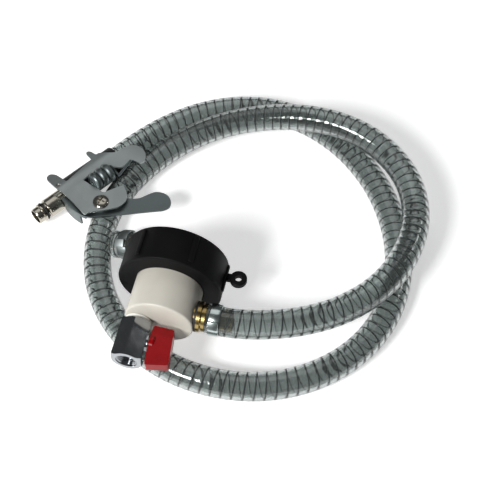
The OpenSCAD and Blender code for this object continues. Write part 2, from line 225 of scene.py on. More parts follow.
def sheet_plate(bm, outline, z0, thick, place, step=3.0, shape=None):
    """A stamped sheet: an outline of (along, across), gridded, shaped by a height, then thickened."""
    old = set(bm.verts)
    face = bm.faces.new([bm.verts.new((u * MM, -v * MM, z0 * MM)) for u, v in outline])
    faces = [face]
    us, vs = [p[0] for p in outline], [p[1] for p in outline]
    for lo, hi, axis in ((min(us), max(us), 0), (min(vs), max(vs), 1)):
        for k in range(1, int((hi - lo) / step)):
            at = lo + k * (hi - lo) / int((hi - lo) / step)
            spot, normal = ((at * MM, 0, 0), (1, 0, 0)) if axis == 0 else ((0, -at * MM, 0), (0, 1, 0))
            edges = list({e for f in faces for e in f.edges})
            geom = faces + edges + list({v for f in faces for v in f.verts})
            cut = bmesh.ops.bisect_plane(bm, geom=geom, dist=1e-7, plane_co=spot, plane_no=normal)
            faces = [g for g in cut["geom"] if isinstance(g, bmesh.types.BMFace)]
    new = [v for v in bm.verts if v not in old]
    if shape:
        for v in new:
            v.co.z += shape(v.co.x / MM, -v.co.y / MM) * MM
    bmesh.ops.recalc_face_normals(bm, faces=faces)
    if faces[0].normal.z > 0:
        bmesh.ops.reverse_faces(bm, faces=faces)
    grown = bmesh.ops.extrude_face_region(bm, geom=faces)
    top = [g for g in grown["geom"] if isinstance(g, bmesh.types.BMVert)]
    bmesh.ops.translate(bm, vec=(0, 0, thick * MM), verts=top)
    new = [v for v in bm.verts if v not in old]
    bmesh.ops.transform(bm, matrix=place, verts=new)
    return new


def make_piece(name, bm, body, material, replaces=(), bevel=0.25, segments=2, angle=32):
    """Writes a bmesh to an object at the origin, gives it its finish and ties it to its body."""
    bmesh.ops.recalc_face_normals(bm, faces=bm.faces)
    mesh = bpy.data.meshes.new(name)
    bm.to_mesh(mesh)
    bm.free()
    for face in mesh.polygons:
        face.use_smooth = True
    mesh.set_sharp_from_angle(angle=math.radians(angle))
    obj = bpy.data.objects.new(name, mesh)
    bpy.context.scene.collection.objects.link(obj)
    if bevel:
        mod = obj.modifiers.new("rounded edges", "BEVEL")
        mod.width = bevel * MM
        mod.segments = segments
        mod.limit_method = "ANGLE"
        mod.angle_limit = math.radians(angle)
        mod.harden_normals = True
    mesh.materials.append(material)
    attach(obj, body)
    if replaces:
        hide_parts(*replaces)
    return obj


def cut_with(obj, bm):
    """Takes the closed shapes of a bmesh out of a piece and applies the result."""
    bmesh.ops.recalc_face_normals(bm, faces=bm.faces)
    mesh = bpy.data.meshes.new("cutter")
    bm.to_mesh(mesh)
    bm.free()
    cutter = bpy.data.objects.new("cutter", mesh)
    bpy.context.scene.collection.objects.link(cutter)
    mod = obj.modifiers.new("cut", "BOOLEAN")
    mod.operation = "DIFFERENCE"
    mod.solver = "EXACT"
    mod.use_self = True
    mod.object = cutter
    while obj.modifiers[0] != mod:
        bpy.context.view_layer.objects.active = obj
        bpy.ops.object.modifier_move_up(modifier=mod.name)
    obj.modifiers.active = mod
    bpy.context.view_layer.update()
    keep = [m for m in obj.modifiers if m != mod]
    shown = [(m, m.show_viewport) for m in keep]
    for m in keep:
        m.show_viewport = False
    result = bpy.data.meshes.new_from_object(obj.evaluated_get(bpy.context.evaluated_depsgraph_get()))
    for m, was in shown:
        m.show_viewport = was
    obj.modifiers.remove(mod)
    obj.data = result
    for face in result.polygons:
        face.use_smooth = True
    result.set_sharp_from_angle(angle=math.radians(32))
    bpy.data.objects.remove(cutter)


# ---------------------------------------------------------------- finishes

FINISH = {}


def moulded_pp():
    """Polypropylene, injection moulded: black and nearly matt, on a fine spark-eroded grain."""
    mat, tree, shader, place = start_material("moulded polypropylene")
    grain = add(tree, "ShaderNodeTexNoise", {"Scale": 2400.0, "Detail": 3.0}, {"Vector": (place, "Object")})
    broad = add(tree, "ShaderNodeTexNoise", {"Scale": 70.0, "Detail": 4.0}, {"Vector": (place, "Object")})
    tone = add(tree, "ShaderNodeMix", {"A": linear("#0a0a0b"), "B": linear("#121213")},
               {"Factor": (broad, "Fac")}, data_type="RGBA")
    rough = add(tree, "ShaderNodeMapRange", {"To Min": 0.44, "To Max": 0.6}, {"Value": (broad, "Fac")})
    bump = add(tree, "ShaderNodeBump", {"Strength": 0.22, "Distance": 0.0002}, {"Height": (grain, "Fac")})
    tree.links.new(tone.outputs["Result"], shader.inputs["Base Color"])
    tree.links.new(rough.outputs["Result"], shader.inputs["Roughness"])
    tree.links.new(bump.outputs["Normal"], shader.inputs["Normal"])
    shader.inputs["IOR"].default_value = 1.49
    # Far below the usual 0.5, because the white floor would lift the black.
    shader.inputs["Specular IOR Level"].default_value = 0.1
    return mat


def turned_hdpe():
    """HDPE bar, turned on a lathe: waxy off-white with faint tool rings round the manifold axis."""
    mat, tree, shader, place = start_material("turned HDPE")
    centre = add(tree, "ShaderNodeMapping", {"Location": -RIM}, {"Vector": (place, "Object")})
    rings = add(tree, "ShaderNodeTexWave", {"Scale": 260.0, "Distortion": 0.6, "Detail": 2.0},
                {"Vector": (centre, "Vector")},
                wave_type="BANDS", bands_direction="Y")
    stain = add(tree, "ShaderNodeTexNoise", {"Scale": 60.0, "Detail": 5.0}, {"Vector": (centre, "Vector")})
    tone = add(tree, "ShaderNodeMix", {"A": linear("#c3beb2"), "B": linear("#d3cfc5")},
               {"Factor": (stain, "Fac")}, data_type="RGBA")
    rough = add(tree, "ShaderNodeMapRange", {"To Min": 0.38, "To Max": 0.52}, {"Value": (stain, "Fac")})
    bump = add(tree, "ShaderNodeBump", {"Strength": 0.10, "Distance": 0.0002}, {"Height": (rings, "Fac")})
    tree.links.new(tone.outputs["Result"], shader.inputs["Base Color"])
    tree.links.new(rough.outputs["Result"], shader.inputs["Roughness"])
    tree.links.new(bump.outputs["Normal"], shader.inputs["Normal"])
    shader.inputs["Subsurface Weight"].default_value = 0.12
    shader.inputs["Subsurface Radius"].default_value = (0.004, 0.003, 0.002)
    shader.inputs["IOR"].default_value = 1.53
    return mat


def plated(name, dark, light, rough_low, rough_high, grain_mm, bump_mm, stretch=(1, 1, 1)):
    """A plated metal: two close tones, cloudy roughness and a fine grain of the given size."""
    mat, tree, shader, place = start_material(name)
    turn = add(tree, "ShaderNodeMapping", {"Scale": stretch}, {"Vector": (place, "Object")})
    fine = add(tree, "ShaderNodeTexNoise", {"Scale": 1000.0 / grain_mm, "Detail": 4.0, "Roughness": 0.6},
               {"Vector": (turn, "Vector")})
    cloud = add(tree, "ShaderNodeTexNoise", {"Scale": 90.0, "Detail": 5.0}, {"Vector": (place, "Object")})
    tone = add(tree, "ShaderNodeMix", {"A": linear(dark), "B": linear(light)}, {"Factor": (cloud, "Fac")},
               data_type="RGBA")
    rough = add(tree, "ShaderNodeMapRange", {"From Min": 0.3, "From Max": 0.7, "To Min": rough_low,
                                             "To Max": rough_high},
                {"Value": (cloud, "Fac")})
    bump = add(tree, "ShaderNodeBump", {"Strength": 0.3, "Distance": bump_mm * MM},
               {"Height": (fine, "Fac")})
    tree.links.new(tone.outputs["Result"], shader.inputs["Base Color"])
    tree.links.new(rough.outputs["Result"], shader.inputs["Roughness"])
    tree.links.new(bump.outputs["Normal"], shader.inputs["Normal"])
    shader.inputs["Metallic"].default_value = 1.0
    return mat


def red_vinyl():
    """Dipped red PVC over the valve's wing: smooth, glossy, with a slightly wavy skin."""
    mat, tree, shader, place = start_material("dipped red vinyl")
    wave = add(tree, "ShaderNodeTexNoise", {"Scale": 160.0, "Detail": 2.0}, {"Vector": (place, "Object")})
    tone = add(tree, "ShaderNodeMix", {"A": linear("#7d0208"), "B": linear("#8f060d")},
               {"Factor": (wave, "Fac")}, data_type="RGBA")
    bump = add(tree, "ShaderNodeBump", {"Strength": 0.12, "Distance": 0.0005}, {"Height": (wave, "Fac")})
    tree.links.new(tone.outputs["Result"], shader.inputs["Base Color"])
    tree.links.new(bump.outputs["Normal"], shader.inputs["Normal"])
    shader.inputs["Roughness"].default_value = 0.22
    shader.inputs["IOR"].default_value = 1.53
    # Far below the usual 0.5, because the white floor would wash out the red.
    shader.inputs["Specular IOR Level"].default_value = 0.15
    return mat


def black_rubber():
    """Vulcanised rubber: matt black with a fine moulding texture."""
    mat, tree, shader, place = start_material("vulcanised rubber")
    fine = add(tree, "ShaderNodeTexNoise", {"Scale": 1500.0, "Detail": 3.0}, {"Vector": (place, "Object")})
    tone = add(tree, "ShaderNodeMix", {"A": linear("#0a0a0b"), "B": linear("#151516")},
               {"Factor": (fine, "Fac")}, data_type="RGBA")
    bump = add(tree, "ShaderNodeBump", {"Strength": 0.25, "Distance": 0.0002}, {"Height": (fine, "Fac")})
    tree.links.new(tone.outputs["Result"], shader.inputs["Base Color"])
    tree.links.new(bump.outputs["Normal"], shader.inputs["Normal"])
    shader.inputs["Roughness"].default_value = 0.62
    shader.inputs["IOR"].default_value = 1.52
    return mat


def ptfe(name, low, high, scale):
    """PTFE: soft white, waxy, with faint wrap lines round the manifold axis."""
    mat, tree, shader, place = start_material(name)
    wrap = add(tree, "ShaderNodeTexWave", {"Scale": scale, "Distortion": 2.0, "Detail": 2.0},
               {"Vector": (place, "Object")},
               wave_type="BANDS", bands_direction="Y")
    tone = add(tree, "ShaderNodeMix", {"A": linear(low), "B": linear(high)}, {"Factor": (wrap, "Fac")},
               data_type="RGBA")
    bump = add(tree, "ShaderNodeBump", {"Strength": 0.3, "Distance": 0.0002}, {"Height": (wrap, "Fac")})
    tree.links.new(tone.outputs["Result"], shader.inputs["Base Color"])
    tree.links.new(bump.outputs["Normal"], shader.inputs["Normal"])
    shader.inputs["Roughness"].default_value = 0.55
    shader.inputs["IOR"].default_value = 1.38
    return mat


def clear_pvc():
    """Plasticised PVC, extruded over the wire: a clear grey-green wall that swells a little between coils."""
    mat, tree, shader, place = start_material("clear plasticised PVC")
    turns = add(tree, "ShaderNodeUVMap", uv_map="turns")
    split = add(tree, "ShaderNodeSeparateXYZ", links={"Vector": (turns, "UV")})
    phase = add(tree, "ShaderNodeMath", links={0: (split, "Y"), 1: (split, "X")}, operation="SUBTRACT")
    angle = add(tree, "ShaderNodeMath", {1: 2 * math.pi}, {0: (phase, "Value")}, operation="MULTIPLY")
    swell = add(tree, "ShaderNodeMath", links={0: (angle, "Value")}, operation="COSINE")
    haze = add(tree, "ShaderNodeTexNoise", {"Scale": 220.0, "Detail": 4.0}, {"Vector": (place, "Object")})
    bump = add(tree, "ShaderNodeBump", {"Strength": 0.15, "Distance": 0.0004},
               {"Height": (swell, "Value")}, invert=True)
    tone = add(tree, "ShaderNodeMix", {"A": linear("#afb7b5"), "B": linear("#bfc6c4")},
               {"Factor": (haze, "Fac")}, data_type="RGBA")
    rough = add(tree, "ShaderNodeMapRange", {"To Min": 0.02, "To Max": 0.07}, {"Value": (haze, "Fac")})
    tree.links.new(tone.outputs["Result"], shader.inputs["Base Color"])
    tree.links.new(rough.outputs["Result"], shader.inputs["Roughness"])
    tree.links.new(bump.outputs["Normal"], shader.inputs["Normal"])
    shader.inputs["Transmission Weight"].default_value = 0.93
    shader.inputs["IOR"].default_value = 1.53
    return mat


def make_finishes():
    """Fills in every finish, by the short name that the pieces use."""
    FINISH.update({
        "cap": moulded_pp(),
        "white": turned_hdpe(),
        # Chrome over brass, polished: mirror-like with faint handling haze. Darker than real chrome, because
        # it would otherwise take too much light from the floor.
        "chrome": plated("polished chrome plate", "#94979a", "#b0b3b6", 0.06, 0.16, 3.0, 0.01),
        # Nickel plate over turned brass: warmer and softer than chrome.
        "nickel": plated("turned nickel plate", "#a8a397", "#c6c1b5", 0.14, 0.28, 0.6, 0.02, (1, 1, 4)),
        # Bare yellow brass, turned: warm, slightly dulled.
        "brass": plated("turned yellow brass", "#8f7a4e", "#b39c68", 0.18, 0.34, 0.5, 0.03),
        # Bright zinc plate on pressed steel sheet: bluish grey, cloudy, half matt.
        "zinc": plated("bright zinc plate", "#959c9c", "#b0b7b6", 0.32, 0.48, 0.8, 0.04),
        # Zinc plate on the spring, the barrel and the lower sheet, a little rougher than the bright zinc. Its
        # darker tones
        # are painted shade: the same plate darkened for parts that lie in shade or tilt away from the light.
        "dull_and_shaded": plated("dull zinc plate with painted shade", "#666e6f", "#818a8a", 0.36, 0.52, 0.8, 0.05),
        # Bright zinc on smooth band strip: glossier than the stamped sheet, and lighter, where the lighter
        # tones are a painted highlight.
        "band": plated("bright zinc strip with painted highlight", "#b6c1c0", "#d2dbd9", 0.16, 0.26, 0.6, 0.02),
        # Spring steel wire: dark grey drawn wire.
        "wire": plated("drawn spring steel", "#3d4142", "#5c6162", 0.28, 0.42, 0.5, 0.02),
        "red": red_vinyl(),
        "rubber": black_rubber(),
        "tape": ptfe("PTFE thread tape", "#dedcd4", "#f4f3ee", 700.0),
        "seat": ptfe("turned PTFE", "#e2e0da", "#efeee9", 300.0),
        "pvc": clear_pvc(),
    })


# ---------------------------------------------------------------- settings

class StageSettings(bpy.types.PropertyGroup):
    lens: bpy.props.FloatProperty(name="Lens", description="Focal length of the camera", default=73.17,
                                  unit="CAMERA")
    distance: bpy.props.FloatProperty(name="Distance", description="Camera to the aim point",
                                      default=0.778, unit="LENGTH")
    elevation: bpy.props.FloatProperty(name="Elevation", description="Height angle of the camera",
                                       default=math.radians(56.94), subtype="ANGLE")
    turn: bpy.props.FloatProperty(name="Turn", description="Camera turned to the right of the front view",
                                  default=math.radians(12.38), subtype="ANGLE")
    floor: bpy.props.FloatVectorProperty(name="Floor", description="Colour of the floor",
                                         default=linear("#f6f6f6")[:3], subtype="COLOR")


class HoseSettings(bpy.types.PropertyGroup):
    diameter: bpy.props.FloatProperty(name="Diameter", description="Outside diameter of the hose",
                                      default=0.021, unit="LENGTH")
    wall: bpy.props.FloatProperty(name="Wall", description="Thickness of the hose wall", default=0.0024,
                                  unit="LENGTH")
    wire: bpy.props.FloatProperty(name="Wire", description="Diameter of the steel wire", default=0.0012,
                                  unit="LENGTH")
    pitch: bpy.props.FloatProperty(name="Pitch", description="Distance from one turn of wire to the next",
                                   default=0.0072, unit="LENGTH")


class CapSettings(bpy.types.PropertyGroup):
    radius: bpy.props.FloatProperty(name="Radius", description="Radius of the cap body", default=0.0378,
                                    unit="LENGTH")
    depth: bpy.props.FloatProperty(name="Depth", description="Length of the cap along its axis",
                                   default=0.027, unit="LENGTH")
    ribs: bpy.props.IntProperty(name="Ribs", description="Number of grip ribs", default=6, min=3, max=24)


class SheetSettings(bpy.types.PropertyGroup):
    thickness: bpy.props.FloatProperty(name="Sheet", description="Thickness of the clamp's steel sheet",
                                       default=0.0015, unit="LENGTH")


# ---------------------------------------------------------------- stage

class SIPHON_OT_stage(bpy.types.Operator):
    """Camera, soft studio light and a plain pale floor"""
    bl_idname = "siphon.stage"
    bl_label = "Stage"

    def execute(self, context):
        s = context.scene.siphon_stage
        aim = Vector((RIM.x + 40.6 * MM, RIM.y + 70.3 * MM, 0))
        flat = s.distance * math.cos(s.elevation)
        spot = aim + Vector((flat * math.sin(s.turn), -flat * math.cos(s.turn),
                             s.distance * math.sin(s.elevation)))
        data = bpy.data.cameras.new("camera")
        data.lens = s.lens
        data.sensor_width = 36
        data.clip_start = 0.01
        camera = bpy.data.objects.new("camera", data)
        camera.matrix_world = placed(spot, Vector((0, 0, 1)).cross(spot - aim), spot - aim)
        context.scene.collection.objects.link(camera)
        context.scene.camera = camera

        bm = bmesh.new()
        bmesh.ops.create_grid(bm, x_segments=1, y_segments=1, size=6)
        mesh = bpy.data.meshes.new("floor")
        bm.to_mesh(mesh)
        bm.free()
        floor = bpy.data.objects.new("floor", mesh)
        floor.location = (0, 0, -0.0002)
        context.scene.collection.objects.link(floor)
        mat, tree, shader, place = start_material("matt studio board")
        fibre = add(tree, "ShaderNodeTexNoise", {"Scale": 3.0}, {"Vector": (place, "Object")})
        tone = add(tree, "ShaderNodeMix", {"A": (*s.floor, 1), "B": linear("#fafafa")},
                   {"Factor": (fibre, "Fac")}, data_type="RGBA")
        tree.links.new(tone.outputs["Result"], shader.inputs["Base Color"])
        shader.inputs["Roughness"].default_value = 0.9
        shader.inputs["Specular IOR Level"].default_value = 0.0
        # The board gives light of its own, so that it reads as white.
        shader.inputs["Emission Color"].default_value = (1, 1, 1, 1)
        shader.inputs["Emission Strength"].default_value = 0.5
        mesh.materials.append(mat)

        world = bpy.data.worlds.new("studio")
        world.use_nodes = True
        world.node_tree.nodes["Background"].inputs["Color"].default_value = (0.5, 0.52, 0.53, 1)
        world.node_tree.nodes["Background"].inputs["Strength"].default_value = 0.16
        context.scene.world = world
        context.scene.view_settings.view_transform = "Standard"
        for name, place_at, size, power in (
            ("front softbox", (-0.6, -1.1, 1.1), 0.45, 27.0),
            ("top softbox", (-0.3, 0.75, 1.5), 1.1, 3.2),
            ("right softbox", (1.2, 0.9, 1.0), 0.3, 1.6),
        ):
            light = bpy.data.lights.new(name, "AREA")
            light.size = size
            light.energy = power
            lamp = bpy.data.objects.new(name, light)
            lamp.matrix_world = placed(aim + Vector(place_at), None, Vector(place_at))
            context.scene.collection.objects.link(lamp)
        return {"FINISHED"}


# ---------------------------------------------------------------- hose

def smooth_line(points, per_span):
    """Catmull-Rom points through a list of centre line points."""
    pts = [2 * points[0] - points[1], *points, 2 * points[-1] - points[-2]]
    out = []
    for i in range(1, len(pts) - 2):
        a, b, c, d = pts[i - 1:i + 3]
        for k in range(per_span):
            t = k / per_span
            out.append(0.5 * (2 * b + (c - a) * t + (2 * a - 5 * b + 4 * c - d) * t * t
                              + (3 * b - a - 3 * c + d) * t ** 3))
    out.append(pts[-2])
    return out


def evenly(points, step):
    """The same line with its points a fixed distance apart."""
    out, left = [points[0].copy()], step
    for a, b in zip(points, points[1:]):
        gap = (b - a).length
        while gap >= left:
            a = a.lerp(b, left / gap)
            gap = (b - a).length
            out.append(a.copy())
            left = step
        left -= gap
    if (out[-1] - points[-1]).length > step * 0.3:
        out.append(points[-1].copy())
    else:
        out[-1] = points[-1].copy()
    return out


def line_frames(points):
    """Direction and two untwisted side directions at each point."""
    frames, side = [], None
    for i, p in enumerate(points):
        d = (points[min(i + 1, len(points) - 1)] - points[max(i - 1, 0)]).normalized()
        side = d.cross(Vector((0, 0, 1))) if side is None else side
        side = (side - d * side.dot(d)).normalized()
        frames.append((p, d, side, side.cross(d)))
    return frames


SIDES = 28


def hose_wall(points, radius, wall):
    """A closed tube wall round a line: every ring of the outer skin, then every ring of the bore."""
    bm = bmesh.new()
    frames = line_frames(points)
    skins = []
    for r in (radius, radius - wall):
        rings = []
        for p, d, a, b in frames:
            made = bmesh.ops.create_circle(bm, cap_ends=False, segments=SIDES, radius=r)["verts"]
            bmesh.ops.transform(bm, matrix=placed(p, a, d), verts=made)
            rings.append(made)
        skins.append(rings)
    for rings in skins:
        for low, high in zip(rings, rings[1:]):
            join_rings(bm, low, high)
    join_rings(bm, skins[0][0], skins[1][0])
    join_rings(bm, skins[0][-1], skins[1][-1])
    return bm


def join_rings(bm, low, high):
    """Faces between two rings with the same number of corners."""
    for k in range(SIDES):
        m = (k + 1) % SIDES
        bm.faces.new((low[k], low[m], high[m], high[k]))


def write_turns(obj, points, pitch):
    """UV map 'turns': X is the part of a turn round the hose, Y the number of wire turns along it."""
    mesh = obj.data
    count = len(points)
    along = [0.0]
    for a, b in zip(points, points[1:]):
        along.append(along[-1] + (b - a).length)
    layer = mesh.uv_layers.new(name="turns")
    for face in mesh.polygons:
        ks = [mesh.loops[i].vertex_index % SIDES for i in face.loop_indices]
        wraps = max(ks) - min(ks) > SIDES / 2
        for i, k in zip(face.loop_indices, ks):
            ring = (mesh.loops[i].vertex_index // SIDES) % count
            u = k / SIDES + (1.0 if wraps and k < SIDES / 2 else 0.0)
            layer.data[i].uv = (u, along[ring] / pitch)


def wire_line(points, radius, pitch, steps=16):
    """Centre line of a wire wound round a line at the given radius."""
    fine = evenly(points, pitch / steps)
    out = []
    for i, (p, d, a, b) in enumerate(line_frames(fine)):
        t = 2 * math.pi * i / steps
        out.append(p + radius * (math.cos(t) * a + math.sin(t) * b))
    return out


def wire_curve(name, points, diameter, material, body):
    """A round wire as a curve with a thickness."""
    curve = bpy.data.curves.new(name, "CURVE")
    curve.dimensions = "3D"
    curve.bevel_depth = diameter / 2
    curve.bevel_resolution = 1
    curve.use_fill_caps = True
    spline = curve.splines.new("POLY")
    spline.points.add(len(points) - 1)
    for item, p in zip(spline.points, points):
        item.co = (*p, 1)
    curve.materials.append(material)
    obj = bpy.data.objects.new(name, curve)
    bpy.context.scene.collection.objects.link(obj)
    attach(obj, body)
    return obj


class SIPHON_OT_hose(bpy.types.Operator):
    """The clear hose with its steel wire, lying in one and a half turns"""
    bl_idname = "siphon.hose"
    bl_label = "Hose"

    def execute(self, context):
        s = context.scene.siphon_hose
        origin = Vector((RIM.x, RIM.y, 0))
        line = evenly(smooth_line([origin + Vector(p) * MM for p in ROUTE], 12), HOSE_STEP * MM)
        bm = hose_wall(line, s.diameter / 2, s.wall)
        wall = make_piece("hose_wall", bm, "manifold", FINISH["pvc"], ["hose"], bevel=0,
                          angle=60)
        write_turns(wall, line, s.pitch)
        coil = wire_line(line, s.diameter / 2 - s.wall / 2, s.pitch)
        wire = wire_curve("hose_wire", coil, s.wire, FINISH["wire"], "manifold")
        return {"FINISHED"}


class SIPHON_OT_tail(bpy.types.Operator):
    """The short tail of hose on the rear elbow"""
    bl_idname = "siphon.tail"
    bl_label = "Tail hose"

    def execute(self, context):
        s = context.scene.siphon_hose
        line = [TAIL_0 + TAIL_AXIS * (TAIL_START + TAIL_LENGTH * k / 12) * MM for k in range(13)]
        bm = hose_wall(line, s.diameter / 2, s.wall)
        wall = make_piece("tail_wall", bm, "manifold", FINISH["pvc"], ["tail_hose"], bevel=0,
                          angle=60)
        write_turns(wall, line, s.pitch)
        coil = wire_line(line, s.diameter / 2 - s.wall / 2, s.pitch)
        wire_curve("tail_wire", coil, s.wire, FINISH["wire"], "manifold")
        return {"FINISHED"}


# ---------------------------------------------------------------- cap and manifold

def arc(radius, z0, r0, start, end, steps=5):
    """Points of an arc in an outline: centre (r0, z0), angles in degrees."""
    turns = [math.radians(start + (end - start) * k / steps) for k in range(steps + 1)]
    return [(r0 + radius * math.cos(t), z0 + radius * math.sin(t)) for t in turns]


class SIPHON_OT_cap(bpy.types.Operator):
    """The black union cap with grip ribs, coarse thread and tether lug"""
    bl_idname = "siphon.cap"
    bl_label = "Cap"

    def execute(self, context):
        s = context.scene.siphon_cap
        r, depth = s.radius / MM, s.depth / MM
        along = placed(RIM, (1, 0, 0), (0, 1, 0))
        bm = bmesh.new()
        thread = [(29, 10.5), (27.9, 11.4), (27.9, 12.6), (29, 13.5), (29, 16.5), (27.9, 17.4),
                  (27.9, 18.6), (29, 19.5),
                  (29, 22.5), (27.9, 23.4), (27.9, 24.2), (29, 25)]
        outline = [(24.8, 0.6), (25.4, 0), (r - 1.3, 0), *arc(1.2, 1.2, r - 1.2, -80, 0), (r, depth - 1),
                   (r - 0.3, depth - 0.3), (r - 1, depth),
                   (29.6, depth), *reversed(thread), (29, 4), (24.8, 4)]
        lathe(bm, outline, along, 144)
        for k in range(s.ribs):
            turn = Matrix.Rotation(math.radians(k * 360 / s.ribs + RIB_TURN), 4, "Y")
            block(bm, (r - 1.5, 3.4, -1.9), (r + 1.3, depth - 2.0, 1.9), Matrix.Translation(RIM) @ turn,
                  0.9, 3)
        lug = Matrix.Translation(RIM + Vector((r + 9, LUG_Y, 0)) * MM)
        lathe(bm, [(2.4, -2), (2.8, -2.4), (5.7, -2.4), (6.2, -1.9), (6.2, 1.9), (5.7, 2.4), (2.8, 2.4),
                   (2.4, 2)], lug, 48)
        block(bm, (r - 1, LUG_Y - 2.8, -2.2), (r + 4.2, LUG_Y + 2.8, 2.2), Matrix.Translation(RIM), 0.8, 2)
        make_piece("cap_shell", bm, "cap_ring", FINISH["cap"], ["cap"], bevel=0.3)
        return {"FINISHED"}


class SIPHON_OT_manifold(bpy.types.Operator):
    """The turned white manifold and the tape on the valve's thread"""
    bl_idname = "siphon.manifold"
    bl_label = "Manifold"

    def execute(self, context):
        along = placed(RIM, (1, 0, 0), (0, 1, 0))
        bm = bmesh.new()
        lathe(bm, [(0, -29.5), (22.9, -29.5), *arc(1.6, -27.9, 22.9, -90, 0), (24.5, 4.3), (28.4, 4.3),
                   (28.4, 8.5), (18, 8.5),
                   (18, 20.2), (17.2, 21.9), (0, 21.9)], along, 144)
        make_piece("manifold_shell", bm, "manifold", FINISH["white"], ["manifold_body"],
                   bevel=0.2)
        bm = bmesh.new()
        tape = [(8.28, 0)]
        for k in range(7):
            tape += [(9.2 + 0.1 * (k % 3), 0.1 + 0.44 * k), (9.05 + 0.1 * (k % 2), 0.33 + 0.44 * k)]
        tape += [(8.28, 3.2)]
        lathe(bm, tape, placed(RIM + Vector((PORT_X, TAPE_Y, 0)) * MM, (1, 0, 0), (0, 1, 0)), 64)
        make_piece("tape_wrap", bm, "manifold", FINISH["tape"], ["thread_tape"], bevel=0)
        bm = bmesh.new()
        ridges = [(7.49, OUTLET_Y - 0.1)]
        for k in range(5):
            y = OUTLET_Y + OUTLET_PITCH * k
            ridges += [(7.4, y), (6.8, y + 0.5), (6.8, y + 0.7), (7.4, y + 1.2)]
        ridges += [(7.49, OUTLET_Y + 5 * OUTLET_PITCH)]
        lathe(bm, ridges, placed(RIM + Vector((PORT_X, 0, 0)) * MM, (1, 0, 0), (0, 1, 0)), 64)
        make_piece("outlet_thread", bm, "manifold", FINISH["chrome"], bevel=0)
        return {"FINISHED"}


class SIPHON_OT_knob(bpy.types.Operator):
    """The red wing that turns the valve"""
    bl_idname = "siphon.knob"
    bl_label = "Valve wing"

    def execute(self, context):
        root = Matrix.Translation(Vector((RIM.x, VALVE.y, VALVE.z)))
        outline = rounded([(-1.9, -12.9), (13.2, -11.8), (15.6, 15.7), (-0.6, 18.5), (-1.9, 4)],
                          [2, 2, 2, 2, 1])
        bm = bmesh.new()
        sheet_plate(bm, outline, -5, 10, Matrix.Identity(4), 1.4)
        for v in bm.verts:
            y = v.co.y / MM
            thin = max(0.0, y - 4.6) * 0.26 + max(0.0, -y - 2) * 0.06
            v.co.z -= math.copysign(thin * MM, v.co.z)
        bmesh.ops.transform(bm, matrix=root, verts=bm.verts)
        lathe(bm, [(0, -1.8), (5.9, -1.8), (6.3, -1.4), (6.3, 1.2), (5.6, 2.2), (0, 2.2)],
              placed(root.translation, (0, 1, 0), (1, 0, 0)), 64)
        make_piece("wing_skin", bm, "valve_rotor", FINISH["red"], ["valve_knob"],
                   bevel=0.9, segments=3)
        return {"FINISHED"}


# ---------------------------------------------------------------- ear clamps

def ear_band(bm, place, radius, ears, wide=8.0):
    """A pressed band with pinched ears, at the given angles round its axis."""
    lathe(bm, [(radius, 0.3), (radius + 0.3, 0), (radius + 0.8, 0.2), (radius + 0.95, 0.6),
               (radius + 0.95, wide - 0.6),
               (radius + 0.8, wide - 0.2), (radius + 0.3, wide), (radius, wide - 0.3)], place, 96)
    for angle in ears:
        turn = place @ Matrix.Rotation(math.radians(angle), 4, "Z")
        for side in (-1, 1):
            block(bm, (radius + 0.5, side * 2.6 - 0.5, 0.2), (radius + 3.0, side * 2.6 + 0.5, wide - 0.2),
                  turn, 0.35, 2)
        block(bm, (radius + 2.4, -3.1, 0.2), (radius + 3.5, 3.1, wide - 0.2), turn, 0.45, 3)


class SIPHON_OT_ears(bpy.types.Operator):
    """The two zinc-plated ear clamps"""
    bl_idname = "siphon.ears"
    bl_label = "Ear clamps"

    def execute(self, context):
        radius = context.scene.siphon_hose.diameter / 2 / MM
        bm = bmesh.new()
        ear_band(bm, placed(BARB + Vector((SIDE_BAND, 0, 0)) * MM, (0, 1, 0), (1, 0, 0)), radius, [140])
        # The side band takes the lighter zinc copy, whose lighter tones are a painted highlight.
        make_piece("side_band", bm, "manifold", FINISH["band"], ["side_clamp"], bevel=0)
        bm = bmesh.new()
        ear_band(bm, placed(TAIL_0 + TAIL_AXIS * TAIL_BAND * MM, (0, 0, 1), TAIL_AXIS), radius, [-30])
        make_piece("rear_band", bm, "manifold", FINISH["zinc"], ["rear_clamp"], bevel=0)
        return {"FINISHED"}


# ---------------------------------------------------------------- spring clamp

